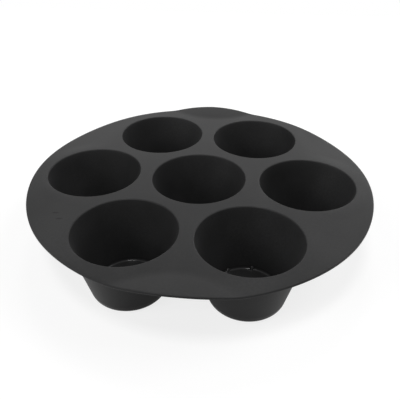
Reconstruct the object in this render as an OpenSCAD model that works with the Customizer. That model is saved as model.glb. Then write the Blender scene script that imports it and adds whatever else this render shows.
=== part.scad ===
// Round flexible muffin mould: one flat deck, a cup in the middle and a ring of cups around it,
// and two grip tabs bent up a little from the deck's edge.
// The moulding is divided where its own features meet, face to face: deck, cups and tabs.
// Millimetres. +Z is up, the cups stand on z = 0, and the tabs lie at +Y and -Y.

/* [Cups] */
// Inner diameter of a cup at its mouth
mouth_d = 57.6; // [45:0.1:75]
// Outer diameter of a cup where its sloping side meets the floor line
base_d = 42.2; // [34:0.1:44]
// Height from the face the cups stand on to the top of the deck
mould_h = 40.5; // [25:0.5:55]
// Thickness of a cup's side, measured level
cup_wall = 2; // [1.2:0.1:2.6]
// Thickness of a cup's bottom
bottom_t = 2.2; // [1.2:0.1:4]
// Radius of the corner around a cup's bottom, outside
base_round = 4.5; // [2:0.1:7]
// Radius of the corner around a cup's bottom, inside
inner_round = 1.6; // [0.5:0.1:6]
// Radius of the rounded lip of a cup's mouth
lip_round = 0.8; // [0.3:0.1:1.2]
// Radius of the inside corner between a cup's side and the underside of the deck
root_round = 1.2; // [0.5:0.1:1.5]

/* [Deck] */
// Thickness of the deck and the grip tabs
deck_t = 1.6; // [1.2:0.1:2.6]
// Narrowest width of deck between two neighbouring mouths
land_w = 8.4; // [7.8:0.1:14]
// Narrowest width of deck between an outer mouth and the edge
rim_w = 8.8; // [5:0.1:16]

/* [Grip tabs] */
// Radius of the curved crease along which a tab is bent up
crease_r = 44; // [36:0.5:55]
// Distance from the deck's round edge in to the middle of the crease
tab_depth = 19; // [12:0.1:21]
// Height that the middle of a tab's edge rises above the deck
tab_rise = 2.4; // [1:0.1:5]
// Distance that the middle of a tab's edge stands out past the deck's round edge
tab_overhang = 0.6; // [0.4:0.1:4]

/* [Hidden] */
$fn = 96;

// Cups stand in a hexagon around the middle one, so a ring holds six
ring_cups = 6;
cup_pitch = mouth_d + land_w;
mouth_r = mouth_d / 2;
base_r = base_d / 2;
deck_r = cup_pitch + mouth_r + rim_w;
underside_z = mould_h - deck_t;

// Slope of a cup's side: its draft from the upright, and the way square to the side
side_slope = (mouth_r + cup_wall - base_r) / mould_h;
draft = atan(side_slope);
square_out = [cos(draft), -sin(draft)];

// The flange on a cup reaches out to where the round under the deck ends
root_touch_z = underside_z - root_round * (1 - sin(draft));
flange_r = side_r(root_touch_z) + root_round * cos(draft);

// The crease is a circle about a point outside the deck, and the tab's edge is an arc
// that leaves the deck's edge where the crease meets it
crease_y = deck_r - tab_depth + crease_r;
tab_end_y = (pow(crease_y, 2) + pow(deck_r, 2) - pow(crease_r, 2)) / (2 * crease_y);
tab_tip_y = deck_r + tab_overhang;
tab_arc_y = (pow(tab_tip_y, 2) - pow(deck_r, 2)) / (2 * (tab_tip_y - tab_end_y));
tab_arc_r = tab_tip_y - tab_arc_y;
tab_slope = tab_rise / (crease_r - crease_y + tab_tip_y);

// Cutting shapes run past the faces they cut by this much
spare = 1;
silicone = [0.17, 0.17, 0.175];

// Radius of a cup's outer side at a height
function side_r(z) = base_r + side_slope * z;

// Half section of the cup's outside, filled: bottom corner, sloping side, root round and flange
module outside_section() {
    touch_z = base_round * (1 - sin(draft));
    touch = [side_r(touch_z), touch_z];
    centre = touch - base_round * square_out;
    root_touch = [side_r(root_touch_z), root_touch_z];
    root_centre = root_touch + root_round * square_out;
    difference() {
        union() {
            polygon([[0, 0], [centre.x, 0], centre, touch, root_touch, root_centre,
                [flange_r, underside_z], [flange_r, mould_h], [0, mould_h]]);
            translate(centre)
                circle(base_round);
        }
        translate(root_centre)
            circle(root_round);
    }
}

// Half section of the hollow
module hollow_section() {
    top_z = mould_h + spare;
    touch_z = bottom_t + inner_round * (1 - sin(draft));
    touch = [side_r(touch_z) - cup_wall, touch_z];
    centre = touch - inner_round * square_out;
    polygon([[0, bottom_t], [centre.x, bottom_t], centre, touch, [side_r(top_z) - cup_wall, top_z], [0, top_z]]);
    translate(centre)
        circle(inner_round);
}

// Takes the sharp corner off the mouth
module lip_cut_section() {
    touch_z = mould_h - lip_round * (1 - sin(draft));
    touch = [side_r(touch_z) - cup_wall, touch_z];
    centre = touch + lip_round * square_out;
    past = touch - spare * square_out;
    difference() {
        polygon([centre, past, [past.x, mould_h + spare], [centre.x, mould_h + spare]]);
        translate(centre)
            circle(lip_round);
    }
}

module cup_section() {
    difference() {
        outside_section();
        hollow_section();
        lip_cut_section();
    }
}

// A cup on the mould's axis
module cup() {
    rotate_extrude()
        cup_section();
}

// A cup of the ring, counted from the right, anticlockwise
module ring_cup(step) {
    angle = step * 360 / ring_cups;
    translate(cup_pitch * [cos(angle), sin(angle), 0])
        cup();
}

// Everything within the crease of the tab at +Y
module crease_drum(height) {
    translate([0, crease_y, 0])
        cylinder(r = crease_r, h = height);
}

module deck() {
    color(silicone)
        difference() {
            translate([0, 0, underside_z])
                cylinder(r = deck_r, h = deck_t);
            cylinder(r = flange_r, h = mould_h + spare);
            for (step = [0 : ring_cups - 1])
                rotate(step * 360 / ring_cups)
                    translate([cup_pitch, 0, 0])
                        cylinder(r = flange_r, h = mould_h + spare);
            crease_drum(mould_h + spare);
            mirror([0, 1, 0])
                crease_drum(mould_h + spare);
        }
}

// A tab is a piece of a shallow cone about the crease's centre, trimmed to the mould's outline
module grip_tab() {
    peak = crease_r * tab_slope;
    intersection() {
        translate([0, crease_y, underside_z])
            rotate_extrude()
                polygon([[0, peak], [crease_r, 0], [crease_r, deck_t], [0, deck_t + peak]]);
        union() {
            cylinder(r = deck_r, h = mould_h + peak);
            translate([0, tab_arc_y, 0])
                cylinder(r = tab_arc_r, h = mould_h + peak);
        }
    }
}

module back_grip_tab() {
    color(silicone)
        grip_tab();
}

module front_grip_tab() {
    color(silicone)
        mirror([0, 1, 0])
            grip_tab();
}

module cup_centre() {
    color(silicone)
        cup();
}

module cup_right() {
    color(silicone)
        ring_cup(0);
}

module cup_back_right() {
    color(silicone)
        ring_cup(1);
}

module cup_back_left() {
    color(silicone)
        ring_cup(2);
}

module cup_left() {
    color(silicone)
        ring_cup(3);
}

module cup_front_left() {
    color(silicone)
        ring_cup(4);
}

module cup_front_right() {
    color(silicone)
        ring_cup(5);
}

deck();
cup_centre();
cup_right();
cup_back_right();
cup_back_left();
cup_left();
cup_front_left();
cup_front_right();
back_grip_tab();
front_grip_tab();
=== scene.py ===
import math

import bmesh
import bpy
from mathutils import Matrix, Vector, noise
from mathutils.geometry import delaunay_2d_cdt


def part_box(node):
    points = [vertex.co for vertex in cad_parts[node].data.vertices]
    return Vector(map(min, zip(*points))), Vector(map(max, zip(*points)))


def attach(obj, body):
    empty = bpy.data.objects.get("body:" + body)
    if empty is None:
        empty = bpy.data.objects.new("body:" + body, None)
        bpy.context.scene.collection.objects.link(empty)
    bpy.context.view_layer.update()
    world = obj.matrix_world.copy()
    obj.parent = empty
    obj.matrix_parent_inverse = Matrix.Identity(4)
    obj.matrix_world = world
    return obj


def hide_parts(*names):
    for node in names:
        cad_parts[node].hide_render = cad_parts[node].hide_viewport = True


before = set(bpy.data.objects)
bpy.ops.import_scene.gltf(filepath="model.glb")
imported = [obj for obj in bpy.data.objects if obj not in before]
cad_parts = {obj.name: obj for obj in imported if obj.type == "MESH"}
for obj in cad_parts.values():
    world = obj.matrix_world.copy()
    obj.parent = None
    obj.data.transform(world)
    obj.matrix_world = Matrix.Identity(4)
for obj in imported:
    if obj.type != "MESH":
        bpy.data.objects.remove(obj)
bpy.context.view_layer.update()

# ---------------------------------------------------------------------------------------------
# The deck. A flat round plate of charcoal silicone that carries the seven cups, moulded with
# them in one shot. Its edge is softly rounded, its rim is not quite round, and it sags a little
# where no cup stiffens it.

MM = 0.001
EDGE_ROUND = 0.5 * MM
EDGE_STEPS = 6
RING_POINTS = 192
SIDE_POINTS = 260
CREASE_POINTS = 70
GRID = 2.4 * MM  # spacing of the points on the deck's flat
GRID_CLEARANCE = 1.1 * MM  # from those points to the deck's outlines
WELD = 0.0005 * MM
SHARP_ANGLE = 35

TAB_BEND = 5 * MM  # width over which a tab's crease is bent
TAB_CURL = 0.25  # a tab is this much steeper than its mean slope at the crease, and flatter at its tip
RIM_SAG = 0.9 * MM
SAG_START = 0.68  # share of the deck's radius
SAG_FIRST_GAP = -2 * MM  # from a cup's flange to where the rim begins to sag
SAG_FULL_GAP = 8 * MM  # and to where it sags in full
SET_START = 0.917  # share of the deck's radius beyond which the rim has set out of round
WAVE_HEIGHT = 0.16 * MM
WAVES_IN_A_METRE = 28
SOFT_DEPTH = 3 * MM  # the cups follow the deck's sag and waves this far down

CUP_NODES = ("cup_centre", "cup_right", "cup_back_right", "cup_back_left", "cup_left",
             "cup_front_left", "cup_front_right")


def middle_of(node):
    low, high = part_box(node)
    return ((low.x + high.x) / 2, (low.y + high.y) / 2)


cup_middles = {node: middle_of(node) for node in CUP_NODES}
flange_radius = (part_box("cup_centre")[1].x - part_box("cup_centre")[0].x) / 2
deck_low, deck_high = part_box("deck")
deck_top, deck_bottom = deck_high.z, deck_low.z
deck_radius = deck_high.x

# The crease of a tab is an arc that meets the deck's edge at the tab's two ends
tab_low, tab_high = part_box("back_grip_tab")
tab_half = tab_high.x
tab_tip = tab_high.y
tab_rise = tab_high.z - deck_top
crease_apex = tab_low.y
crease_end = math.sqrt(deck_radius ** 2 - tab_half ** 2)
crease_radius = (tab_half ** 2 + (crease_end - crease_apex) ** 2) / (2 * (crease_end - crease_apex))
crease_middle = crease_apex + crease_radius


def feed(tree, value, socket):
    """Sets an input to a plain value, or links another node's output to it."""
    if isinstance(value, bpy.types.NodeSocket):
        tree.links.new(value, socket)
    else:
        socket.default_value = value


def add_named(tree, kind, **inputs):
    """Adds a shader node whose inputs are given by name."""
    made = tree.nodes.new(kind)
    for name, value in inputs.items():
        feed(tree, value, made.inputs[name.replace("_", " ")])
    return made


def add_ordered(tree, kind, *inputs, **settings):
    """Adds a shader node whose inputs are given by their order, and returns its outputs."""
    made = tree.nodes.new(kind)
    for name, value in settings.items():
        setattr(made, name, value)
    for value, socket in zip(inputs, made.inputs):
        feed(tree, value, socket)
    return made.outputs


def spread(tree, value, old, new):
    """Stretches a value from one range to another, and holds it at the ends."""
    stretch = add_named(tree, "ShaderNodeMapRange", Value=value,
                        From_Min=old[0], From_Max=old[1], To_Min=new[0], To_Max=new[1])
    return stretch.outputs["Result"]


def make_silicone():
    """Charcoal silicone out of a blasted steel tool: satin, faintly cloudy, with a little lint."""
    material = bpy.data.materials.new("charcoal_silicone")
    material.use_nodes = True
    tree = material.node_tree
    tree.nodes.clear()
    place = add_named(tree, "ShaderNodeTexCoord").outputs["Object"]

    def clouds(count, layers):
        """Soft noise of so many clouds to the metre."""
        cloud = add_named(tree, "ShaderNodeTexNoise", Vector=place, Scale=count, Detail=layers,
                          Roughness=0.55)
        return cloud.outputs["Fac"]

    def times(a, b):
        return add_ordered(tree, "ShaderNodeMath", a, b, operation="MULTIPLY")[0]

    def colour_mix(factor, first, second):
        mix = add_named(tree, "ShaderNodeMix")
        mix.data_type = "RGBA"
        for name, value in (("Factor", factor), ("A", first), ("B", second)):
            feed(tree, value, mix.inputs[name])
        return mix.outputs["Result"]

    def bump(height, strength, depth, **under):
        """Relief of the surface, on top of another relief where one is given."""
        relief = add_named(tree, "ShaderNodeBump", Height=height, Strength=strength, Distance=depth,
                           **under)
        return relief.outputs["Normal"]

    # Pigment: slow clouds of powdery bloom, with a finer mottle over them
    charcoal = (0.0168, 0.0168, 0.017, 1)
    bloomed = (0.03, 0.03, 0.0305, 1)
    slow = clouds(22, 3)
    fine = clouds(900, 4)
    thickness = spread(tree, slow, (0.33, 0.68), (0.05, 0.8))
    mottle = spread(tree, fine, (0.3, 0.7), (0.6, 1.35))
    pigment = colour_mix(times(thickness, mottle), charcoal, bloomed)

    # Silicone draws lint: sparse dark specks, under a millimetre across, in a few patches
    lint = (0.009, 0.009, 0.009, 1)
    flecks = add_named(tree, "ShaderNodeTexVoronoi", Vector=place, Scale=95)
    fleck = spread(tree, flecks.outputs["Distance"], (0.03, 0.05), (1, 0))
    patch = spread(tree, clouds(35, 1), (0.58, 0.62), (0, 0.7))
    dark = times(fleck, patch)

    # Two short scuffs on the left of the deck, drawn out from left to right
    squeeze = (0.4, 1, 0)
    squeezed = add_ordered(tree, "ShaderNodeVectorMath", place, squeeze, operation="MULTIPLY")[0]
    for x, y in ((-75.0 * MM, -45.6 * MM), (-71.0 * MM, -50.8 * MM)):
        spot = (x * squeeze[0], y * squeeze[1], 0)
        away = add_ordered(tree, "ShaderNodeVectorMath", squeezed, spot, operation="DISTANCE")["Value"]
        scuff = spread(tree, away, (0.4 * MM, 1.0 * MM), (0.95, 0))
        dark = add_ordered(tree, "ShaderNodeMath", scuff, dark, operation="MAXIMUM")[0]

    # Finish: satin, a touch rougher where the bloom lies, shinier low down where the tool was polished
    height = add_named(tree, "ShaderNodeSeparateXYZ", Vector=place).outputs["Z"]
    polish = spread(tree, height, (3.5 * MM, 5.5 * MM), (0.35, 1))
    satin = spread(tree, slow, (0.3, 0.7), (0.4, 0.48))

    # The tool's blasted grain, over a faint orange peel
    peel = bump(clouds(420, 1), 0.3, 0.03 * MM)
    grain = bump(clouds(2600, 2), 0.35, 0.02 * MM, Normal=peel)

    rubber = add_named(tree, "ShaderNodeBsdfPrincipled", IOR=1.43, Specular_IOR_Level=0.16,
                       Base_Color=colour_mix(dark, pigment, lint),
                       Roughness=times(satin, polish), Normal=grain)
    add_named(tree, "ShaderNodeOutputMaterial", Surface=rubber.outputs["BSDF"])
    return material


silicone = make_silicone()


def ease(x):
    """0 below 0, 1 above 1, and smooth between."""
    x = min(max(x, 0), 1)
    return x * x * (3 - 2 * x)


def tab_lift(x, y):
    """How far the deck's plane is bent up: a tab rises from its crease, less steeply toward its tip."""
    past_crease = crease_radius - math.hypot(x, abs(y) - crease_middle)
    if past_crease <= 0:
        return 0
    if past_crease > TAB_BEND:
        risen = past_crease - TAB_BEND / 2
    else:
        risen = past_crease ** 2 / (2 * TAB_BEND)
    share = risen / (crease_radius - crease_middle + tab_tip - TAB_BEND / 2)
    return tab_rise * share * (1 + TAB_CURL * (1 - share))


def past(x, y, start):
    """How far a point is out toward the rim: 0 at the start, a share of the radius, and 1 at the rim."""
    return ease((math.hypot(x, y) - start * deck_radius) / ((1 - start) * deck_radius))


def rim_sag(x, y):
    """The free rim droops between the cups, most at the two sides that have no tab."""
    angle = math.atan2(y, x)
    between_cups = (1 - math.cos(6 * angle)) / 2 * abs(math.cos(angle))
    from_cup = min(math.hypot(x - a, y - b) for a, b in cup_middles.values()) - flange_radius
    free = ease((from_cup - SAG_FIRST_GAP) / (SAG_FULL_GAP - SAG_FIRST_GAP))
    return RIM_SAG * past(x, y, SAG_START) * between_cups * free


def rim_stretch(x, y):
    """The rim has set out of round: in at the front left and the back right, out at the front right."""
    angle = math.atan2(y, x)
    drift = 0.3 * MM * math.cos(angle)
    oval = -0.5 * MM * math.sin(2 * angle)
    shrink = -0.3 * MM
    return 1 + past(x, y, SET_START) * (drift + oval + shrink) / deck_radius


def settle(point):
    """Moves a point of the true moulding to where the soft part really lies."""
    x, y, z = point
    near_deck = ease((z - deck_bottom + SOFT_DEPTH) / SOFT_DEPTH)
    wave = WAVE_HEIGHT * noise.noise(Vector((x, y, 0)) * WAVES_IN_A_METRE)
    stretch = rim_stretch(x, y)
    return (x * stretch, y * stretch, z + tab_lift(x, y) + near_deck * (wave - rim_sag(x, y)))


def finish_piece(name, points, faces, node):
    """Makes a closed piece of silicone from points and faces, in the place of one CAD node."""
    mesh = bpy.data.meshes.new(name)
    mesh.from_pydata([settle(p) for p in points], [], faces)
    form = bmesh.new()
    form.from_mesh(mesh)
    bmesh.ops.remove_doubles(form, verts=form.verts, dist=WELD)
    bmesh.ops.recalc_face_normals(form, faces=form.faces)
    form.to_mesh(mesh)
    form.free()
    mesh.shade_smooth()
    mesh.set_sharp_from_angle(angle=math.radians(SHARP_ANGLE))
    mesh.materials.append(silicone)
    piece = bpy.data.objects.new(name, mesh)
    bpy.context.scene.collection.objects.link(piece)
    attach(piece, "root")
    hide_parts(node)
    return piece


def circle(middle, radius, count):
    return [(middle[0] + radius * math.cos(2 * math.pi * k / count),
             middle[1] + radius * math.sin(2 * math.pi * k / count)) for k in range(count)]


def arc(middle, start, end, count):
    """Points from start to end along the shorter arc round middle, both ends included."""
    first = math.atan2(start[1] - middle[1], start[0] - middle[0])
    last = math.atan2(end[1] - middle[1], end[0] - middle[0])
    turn = (last - first + math.pi) % (2 * math.pi) - math.pi
    radius = math.hypot(start[0] - middle[0], start[1] - middle[1])
    inside = [(middle[0] + radius * math.cos(first + turn * k / count),
               middle[1] + radius * math.sin(first + turn * k / count)) for k in range(1, count)]
    return [start, *inside, end]


def edge_rows():
    """(inset, height) of each line round the rounded edge, from the top face to the bottom face."""
    turns = [math.pi / 2 * k / EDGE_STEPS for k in range(EDGE_STEPS + 1)]
    upper = [(EDGE_ROUND * (1 - math.sin(t)), deck_top - EDGE_ROUND * (1 - math.cos(t))) for t in turns]
    lower = [(EDGE_ROUND * (1 - math.sin(t)), deck_bottom + EDGE_ROUND * (1 - math.cos(t))) for t in turns]
    return upper + lower[::-1]


def tab_corner(inset):
    """The right-hand end of the back crease, on the deck's edge or a line that runs inside it by inset."""
    radius = deck_radius - inset
    y = (crease_middle ** 2 + radius ** 2 - crease_radius ** 2) / (2 * crease_middle)
    return math.sqrt(radius ** 2 - y ** 2), y


def crease_line(side):
    """The crease from its left end to its right end, at the back (side 1) or the front (side -1)."""
    x, y = tab_corner(EDGE_ROUND)
    return [(px, side * py) for px, py in arc((0, crease_middle), (-x, y), (x, y), CREASE_POINTS)]


def side_line(inset, side):
    """The deck's own edge between the tabs, from front to back, on the right (side 1) or the left."""
    x, y = tab_corner(inset)
    first, last = math.atan2(-y, x), math.atan2(y, x)
    radius = deck_radius - inset
    turns = [first + (last - first) * k / SIDE_POINTS for k in range(1, SIDE_POINTS)]
    inside = [(radius * math.cos(t), radius * math.sin(t)) for t in turns]
    return [(side * px, py) for px, py in [(x, -y), *inside, (x, y)]]


def on_deck(x, y, clear):
    """Whether a point is on the deck's flat, and clear of its edge, the cups and the creases by so much."""
    if math.hypot(x, y) > deck_radius - EDGE_ROUND - clear:
        return False
    if min(math.hypot(x - a, y - b) for a, b in cup_middles.values()) < flange_radius + clear:
        return False
    return math.hypot(x, abs(y) - crease_middle) > crease_radius + clear


def fill_deck(loops):
    """Triangles over the deck's flat, between its outline and the holes for the cups."""
    points, lines = [], []
    for loop in loops:
        first = len(points)
        points += loop
        lines += [(first + k, first + (k + 1) % len(loop)) for k in range(len(loop))]
    row_height = GRID * math.sqrt(0.75)
    rows, columns = int(deck_radius / row_height) + 1, int(deck_radius / GRID) + 1
    grid = [((i + 0.5 * (j % 2)) * GRID, j * row_height)
            for j in range(-rows, rows + 1) for i in range(-columns, columns + 1)]
    points += [p for p in grid if on_deck(*p, GRID_CLEARANCE)]
    made, _, triangles, *_ = delaunay_2d_cdt([Vector(p) for p in points], lines, [], 0, 1e-9)
    kept = [tuple(t) for t in triangles
            if on_deck(sum(made[k].x for k in t) / 3, sum(made[k].y for k in t) / 3, 0)]
    return [(p.x, p.y) for p in made], kept


class Shell:
    """Points and faces of one piece as it is put together."""

    def __init__(self):
        self.points, self.faces = [], []

    def add(self, points, faces):
        first = len(self.points)
        self.points += points
        self.faces += [tuple(first + k for k in face) for face in faces]

    def add_band(self, rows):
        """Joins rows of the same number of points with quads."""
        n = len(rows[0])
        self.add([p for row in rows for p in row],
                 [(r * n + k, r * n + k + 1, (r + 1) * n + k + 1, (r + 1) * n + k)
                  for r in range(len(rows) - 1) for k in range(n - 1)])

    def add_wall(self, line):
        """An upright wall under a line, from the deck's top to its underside."""
        self.add_band([[(x, y, deck_top) for x, y in line], [(x, y, deck_bottom) for x, y in line]])

    def add_crease_end(self, hand, side):
        """The small D-shaped end of a crease wall, inside the rounded edge."""
        corners = [(*tab_corner(inset), z) for inset, z in edge_rows()]
        self.add([(hand * x, side * y, z) for x, y, z in corners], [tuple(range(len(corners)))])


def make_deck():
    shell = Shell()
    right, left = side_line(EDGE_ROUND, 1), side_line(EDGE_ROUND, -1)
    back, front = crease_line(1), crease_line(-1)
    outline = right[:-1] + back[::-1][:-1] + left[::-1][:-1] + front[:-1]
    holes = [circle(middle, flange_radius, RING_POINTS) for middle in cup_middles.values()]
    flat, triangles = fill_deck([outline, *holes])
    shell.add([(x, y, deck_top) for x, y in flat], triangles)
    shell.add([(x, y, deck_bottom) for x, y in flat], [t[::-1] for t in triangles])
    for hole in holes:
        shell.add_wall(hole + hole[:1])
    for side in (1, -1):
        shell.add_band([[(x, y, z) for x, y in side_line(inset, side)] for inset, z in edge_rows()])
        shell.add_wall(crease_line(side))
        for hand in (1, -1):
            shell.add_crease_end(hand, side)
    finish_piece("deck_plate", shell.points, shell.faces, "deck")


make_deck()

# ---------------------------------------------------------------------------------------------
# The cups. Seven plain tapered cups with flat bottoms, one in the middle and six round it, in
# one moulding with the deck. Each has a small round lip, a sloping side, and rounded corners
# inside and outside. The front right one keeps three tiny pips where air left its tool.

MOUTH_RADIUS = 28.8 * MM
CUP_WALL = 2.0 * MM
BASE_RADIUS = 21.1 * MM
BOTTOM = 2.2 * MM
BASE_ROUND = 4.5 * MM
INNER_ROUND = 1.6 * MM
LIP_ROUND = 0.8 * MM
LIP_MARGIN = 0.3 * MM
ROOT_ROUND = 1.2 * MM
FLAT_STEPS = 9
WALL_STEPS = 16
CORNER_STEPS = 12
LIP_STEPS = 8
ROOT_STEPS = 6
PIP_HEIGHT = 0.7  # in its radii
PIP_SKIRT = 1.5  # the mesh is made finer this far round a pip, in its radii
PIP_DIVISIONS = 3
PIP_INSET = 0.4 * MM  # from the corner of the floor
side_slope = (MOUTH_RADIUS + CUP_WALL - BASE_RADIUS) / deck_top
draft = math.atan(side_slope)


def round_corner(middle, radius, start, end, steps):
    """Points of a section's round corner, from one direction to another, in degrees."""
    turns = [math.radians(start + (end - start) * k / steps) for k in range(steps + 1)]
    return [(middle[0] + radius * math.cos(t), middle[1] + radius * math.sin(t)) for t in turns]


def straight(start, end, steps):
    """Points strictly between two points of a section."""
    return [(start[0] + (end[0] - start[0]) * k / steps, start[1] + (end[1] - start[1]) * k / steps)
            for k in range(1, steps)]


def round_middle(touch_z, radius, inset, side):
    """Middle of a round that touches the cup's side at touch_z, on its inner (side -1) or outer hand."""
    wall = BASE_RADIUS + side_slope * touch_z - inset
    return (wall + side * radius * math.cos(draft), touch_z - side * radius * math.sin(draft))


def cup_section():
    """A cup's section as (radius, height): the floor from its middle, up, over the lip, down and back."""
    tilt = math.degrees(draft)
    drop = 1 - math.sin(draft)
    inner_middle = round_middle(BOTTOM + INNER_ROUND * drop, INNER_ROUND, CUP_WALL, -1)
    lip_middle = round_middle(deck_top - LIP_ROUND * drop, LIP_ROUND, CUP_WALL, 1)
    root_middle = round_middle(deck_bottom - ROOT_ROUND * drop, ROOT_ROUND, 0, 1)
    base_middle = round_middle(BASE_ROUND * drop, BASE_ROUND, 0, -1)
    inner = round_corner(inner_middle, INNER_ROUND, -90, -tilt, CORNER_STEPS)
    lip = round_corner(lip_middle, LIP_ROUND, 180 - tilt, 90, LIP_STEPS)
    root = round_corner(root_middle, ROOT_ROUND, 90, 180 - tilt, ROOT_STEPS)
    base = round_corner(base_middle, BASE_ROUND, -tilt, -90, CORNER_STEPS)
    floor = [(0, BOTTOM)] + straight((0, BOTTOM), inner[0], FLAT_STEPS)
    flange = [(lip[-1][0] + LIP_MARGIN, deck_top), (flange_radius, deck_top), (flange_radius, deck_bottom)]
    underside = straight(base[-1], (0, 0), FLAT_STEPS) + [(0, 0)]
    return (floor + inner + straight(inner[-1], lip[0], WALL_STEPS) + lip + flange
            + root[1:] + straight(root[-1], base[0], WALL_STEPS) + base + underside)


def make_cup(node):
    middle = cup_middles[node]
    section = cup_section()
    points = [(*middle, section[0][1])]
    for radius, z in section[1:-1]:
        points += [(x, y, z) for x, y in circle(middle, radius, RING_POINTS)]
    points.append((*middle, section[-1][1]))
    rings, last = len(section) - 2, len(points) - 1
    faces = []
    for k in range(RING_POINTS):
        after = (k + 1) % RING_POINTS
        faces.append((0, 1 + k, 1 + after))
        for r in range(rings - 1):
            a, b = 1 + r * RING_POINTS, 1 + (r + 1) * RING_POINTS
            faces.append((a + k, b + k, b + after, a + after))
        a = 1 + (rings - 1) * RING_POINTS
        faces.append((last, a + after, a + k))
    return finish_piece(node + "_form", points, faces, node)


def raise_pip(cup, node, bearing, reach, rise, radius):
    """Raises a tiny round pip inside a cup, at a bearing and a distance from its middle line."""
    middle = cup_middles[node]
    turn = math.radians(bearing)
    pip = Vector((middle[0] + reach * math.cos(turn), middle[1] + reach * math.sin(turn), BOTTOM + rise))
    form = bmesh.new()
    form.from_mesh(cup.data)
    for _ in range(PIP_DIVISIONS):
        near = [e for e in form.edges if min((v.co - pip).length for v in e.verts) < PIP_SKIRT * radius]
        bmesh.ops.subdivide_edges(form, edges=near, cuts=1, use_grid_fill=True)
        bmesh.ops.triangulate(form, faces=[f for f in form.faces if len(f.verts) > 4])
    form.normal_update()
    raised = [(v, v.normal.copy(), (v.co - pip).length / radius) for v in form.verts]
    for vert, out, far in raised:
        if far < 1:
            vert.co += out * PIP_HEIGHT * radius * math.sqrt(1 - far ** 2)
    form.normal_update()
    form.to_mesh(cup.data)
    form.free()


cups = {node: make_cup(node) for node in CUP_NODES}
floor_corner = BASE_RADIUS - CUP_WALL + side_slope * BOTTOM - PIP_INSET
for bearing, reach, rise, radius in ((124, floor_corner, 0.8 * MM, 1.2 * MM),
                                     (82, floor_corner, 0.8 * MM, 1.3 * MM),
                                     (60, 13.9 * MM, 0, 0.6 * MM)):
    raise_pip(cups["cup_front_right"], "cup_front_right", bearing, reach, rise, radius)

# ---------------------------------------------------------------------------------------------
# The grip tabs. Two thin lens-shaped lips at the back and the front of the deck, bent up along a
# curved crease so that a finger can get under them. Moulded in one with the deck.

TAB_ROWS = 16


def tab_outline(inset):
    """The back tab's free edge, from its left end to its right end, inset from the outline."""
    x, y = tab_corner(inset)
    tip = tab_tip - inset
    middle_y = (tip ** 2 - x ** 2 - y ** 2) / (2 * (tip - y))
    return arc((0, middle_y), (-x, y), (x, y), CREASE_POINTS)


def make_tab(node, side):
    """A grid between the crease and the free edge, which share their two end points."""
    shell = Shell()
    crease = crease_line(side)
    edge = [(x, side * y) for x, y in tab_outline(EDGE_ROUND)]
    for z in (deck_top, deck_bottom):
        shell.add_band([[(a[0] + (b[0] - a[0]) * r / TAB_ROWS, a[1] + (b[1] - a[1]) * r / TAB_ROWS, z)
                         for a, b in zip(crease, edge)] for r in range(TAB_ROWS + 1)])
    shell.add_band([[(x, side * y, z) for x, y in tab_outline(inset)] for inset, z in edge_rows()])
    shell.add_wall(crease)
    for hand in (1, -1):
        shell.add_crease_end(hand, side)
    finish_piece(node + "_form", shell.points, shell.faces, node)


make_tab("back_grip_tab", 1)
make_tab("front_grip_tab", -1)

# ---------------------------------------------------------------------------------------------
# The table and the light. A pale sweep that shows as white and keeps a faint shadow, a dim even
# sky, and softboxes above, at the front, left and right. A slim upright one stands low at the
# left, and two long low ones stand behind.

SWEEP_HALF = 0.6
SWEEP_LOW = -0.02 * MM  # a hair under the cups, so that the two never share a plane
SWEEP_GLOW = 0.8
SHADED_GLOW = 0.15
SKY_STRENGTH = 0.02

# Name, bearing (0 is the right and 90 the back), height angle, distance, width, height, watts
SOFTBOXES = (
    ("overhead_softbox", 90, 66, 1.3, 0.28, 0.28, 1.8),
    ("front_softbox", 262, 68, 1.2, 0.24, 0.24, 5.2),
    ("front_left_softbox", 222, 30, 1.2, 0.35, 0.35, 2.9),
    ("left_softbox", 180, 35, 1.2, 0.8, 0.8, 0.5),
    ("left_strip", 200, 20, 1.2, 0.16, 0.4, 1.5),
    ("right_softbox", 5, 48, 1.2, 0.6, 0.6, 4.2),
    ("back_strip", 95, 26, 1.3, 1.2, 0.35, 1.2),
    ("back_right_strip", 50, 18, 1.3, 1.0, 0.45, 2.4),
)


def white_to_eye(tree, plain, white):
    """Shows the white shader to camera, glossy and transmission rays, and the plain one to all others."""
    rays = add_named(tree, "ShaderNodeLightPath").outputs
    seen = rays["Is Camera Ray"]
    for ray in ("Is Glossy Ray", "Is Transmission Ray"):
        seen = add_ordered(tree, "ShaderNodeMath", seen, rays[ray], operation="MAXIMUM")[0]
    return add_ordered(tree, "ShaderNodeMixShader", seen, plain, white)[0]


def make_sweep():
    """Paper that glows to the eye, pure white far out. Under the mould, a painted shadow dims the glow that
    gloss sees.
    """
    material = bpy.data.materials.new("white_sweep")
    material.use_nodes = True
    tree = material.node_tree
    tree.nodes.clear()
    place = add_named(tree, "ShaderNodeTexCoord").outputs["Object"]
    from_middle = add_ordered(tree, "ShaderNodeVectorMath", place, operation="LENGTH")["Value"]
    # Painted shadow: the glow that gloss and other rays see is dimmed under the mould, from SWEEP_GLOW down
    # to SHADED_GLOW
    shade = add_named(tree, "ShaderNodeMapRange", Value=from_middle, To_Min=SHADED_GLOW, To_Max=SWEEP_GLOW,
                      From_Min=0.5 * deck_radius, From_Max=1.1 * deck_radius)
    shade.interpolation_type = "SMOOTHSTEP"
    fade = spread(tree, from_middle, (1.2 * deck_radius, 4 * deck_radius), (SWEEP_GLOW, 1))
    to_camera = add_named(tree, "ShaderNodeLightPath").outputs["Is Camera Ray"]
    strength = add_named(tree, "ShaderNodeMix", Factor=to_camera, A=shade.outputs["Result"], B=fade)
    glow = add_named(tree, "ShaderNodeEmission", Strength=strength.outputs["Result"]).outputs[0]
    paper = add_named(tree, "ShaderNodeBsdfDiffuse", Color=(0.26, 0.26, 0.26, 1)).outputs[0]
    lit = add_ordered(tree, "ShaderNodeAddShader", paper, glow)[0]
    add_named(tree, "ShaderNodeOutputMaterial", Surface=white_to_eye(tree, paper, lit))
    return material


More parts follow.
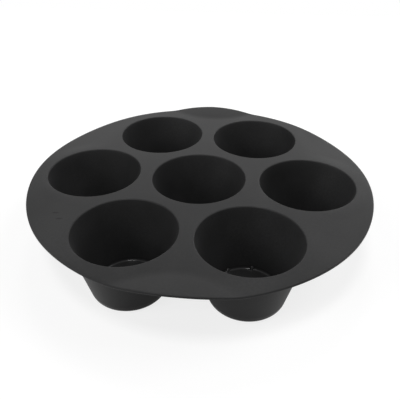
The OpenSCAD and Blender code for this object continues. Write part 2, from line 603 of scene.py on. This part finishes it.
def make_floor():
    mesh = bpy.data.meshes.new("floor")
    corners = ((-1, -1), (1, -1), (1, 1), (-1, 1))
    mesh.from_pydata([(x * SWEEP_HALF, y * SWEEP_HALF, SWEEP_LOW) for x, y in corners], [], [(0, 1, 2, 3)])
    mesh.materials.append(make_sweep())
    floor = bpy.data.objects.new("floor", mesh)
    bpy.context.scene.collection.objects.link(floor)


def make_sky():
    world = bpy.data.worlds.new("sky")
    world.use_nodes = True
    tree = world.node_tree
    tree.nodes.clear()
    dim, white = [add_named(tree, "ShaderNodeBackground", Color=(1, 1, 1, 1), Strength=strength).outputs[0]
                  for strength in (SKY_STRENGTH, 1)]
    add_named(tree, "ShaderNodeOutputWorld", Surface=white_to_eye(tree, dim, white))
    bpy.context.scene.world = world


def make_softbox(name, bearing, height_angle, distance, width, height, watts):
    """A softbox on a ring round the mould, facing it."""
    turn, rise = math.radians(bearing), math.radians(height_angle)
    toward = Vector((math.cos(rise) * math.cos(turn), math.cos(rise) * math.sin(turn), math.sin(rise)))
    data = bpy.data.lights.new(name, "AREA")
    data.shape = "RECTANGLE"
    data.size, data.size_y = width, height
    data.energy = watts
    lamp = bpy.data.objects.new(name, data)
    lamp.location = toward * distance + Vector((0, 0, deck_top))
    lamp.rotation_mode = "QUATERNION"
    lamp.rotation_quaternion = (-toward).to_track_quat("-Z", "Y")
    bpy.context.scene.collection.objects.link(lamp)


def make_camera():
    """Stands a little right of the front, looking down at the mould."""
    data = bpy.data.cameras.new("camera")
    data.sensor_width = 36
    data.lens = 43.26
    camera = bpy.data.objects.new("camera", data)
    camera.location = (0.02895, -0.25239, deck_top + 0.15491)
    camera.rotation_mode = "QUATERNION"
    camera.rotation_quaternion = Vector((-0.09212, 0.82294, -0.56060)).to_track_quat("-Z", "Y")
    bpy.context.scene.collection.objects.link(camera)
    bpy.context.scene.camera = camera


make_floor()
make_sky()
for softbox in SOFTBOXES:
    make_softbox(*softbox)
make_camera()
bpy.context.scene.view_settings.view_transform = "Standard"
